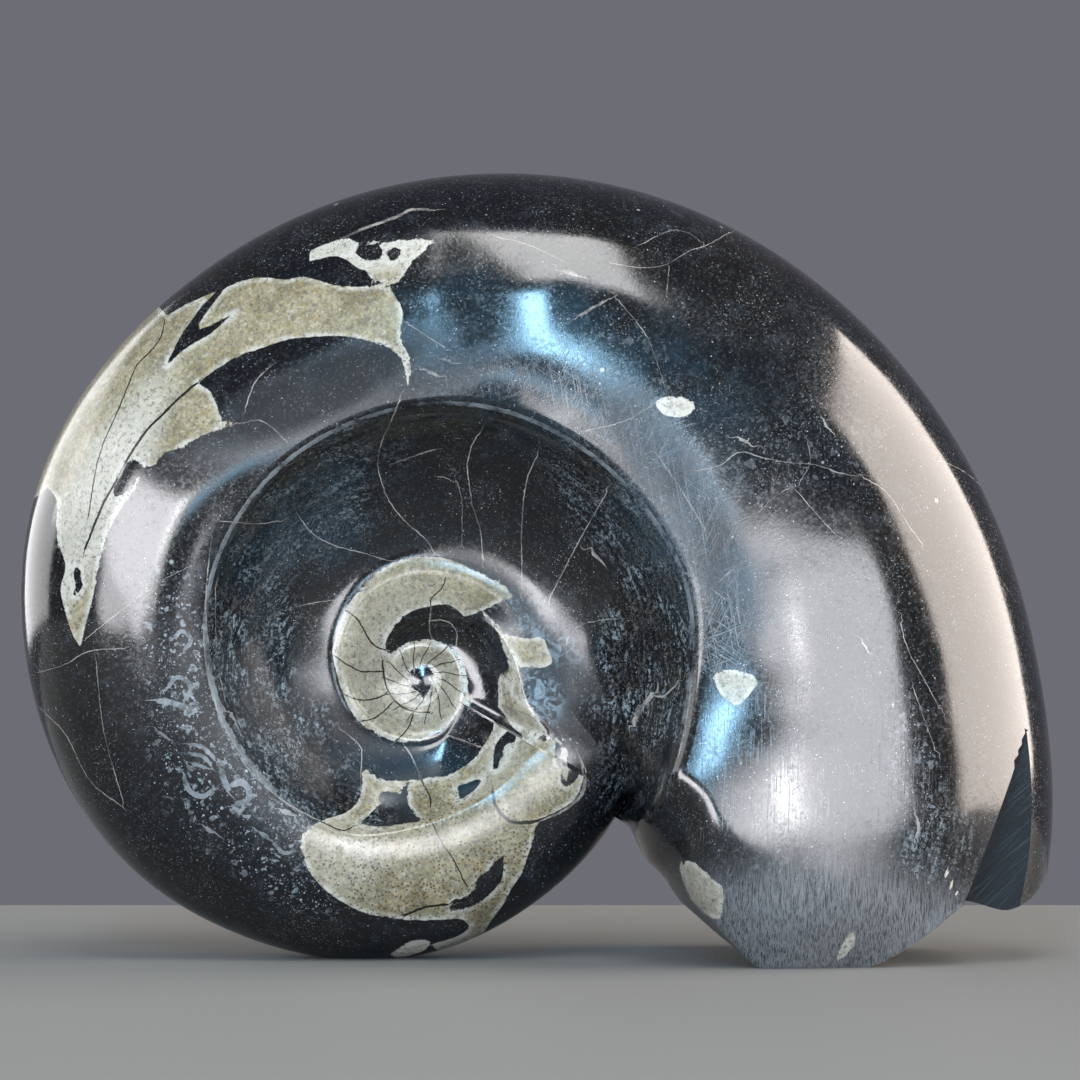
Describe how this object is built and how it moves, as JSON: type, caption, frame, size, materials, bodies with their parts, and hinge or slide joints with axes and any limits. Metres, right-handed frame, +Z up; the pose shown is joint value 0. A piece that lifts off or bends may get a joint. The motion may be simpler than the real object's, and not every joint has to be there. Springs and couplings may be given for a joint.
{
  "type": "fossil ammonite",
  "caption": "Polished goniatite shell carved from one piece of black limestone, resting upright on its coil and the lip of its mouth.",
  "frame": {"origin": "middle of the shell's width and thickness, on the surface that it stands on", "axes": "+X towards the mouth, +Y along the coil axis to the far side, +Z up"},
  "size_m": [0.1999, 0.0814, 0.152],
  "materials": {
    "polished_limestone": "polished"
  },
  "bodies": {
    "root": {"goniatite_shell": "polished_limestone"}
  },
  "joints": []
}
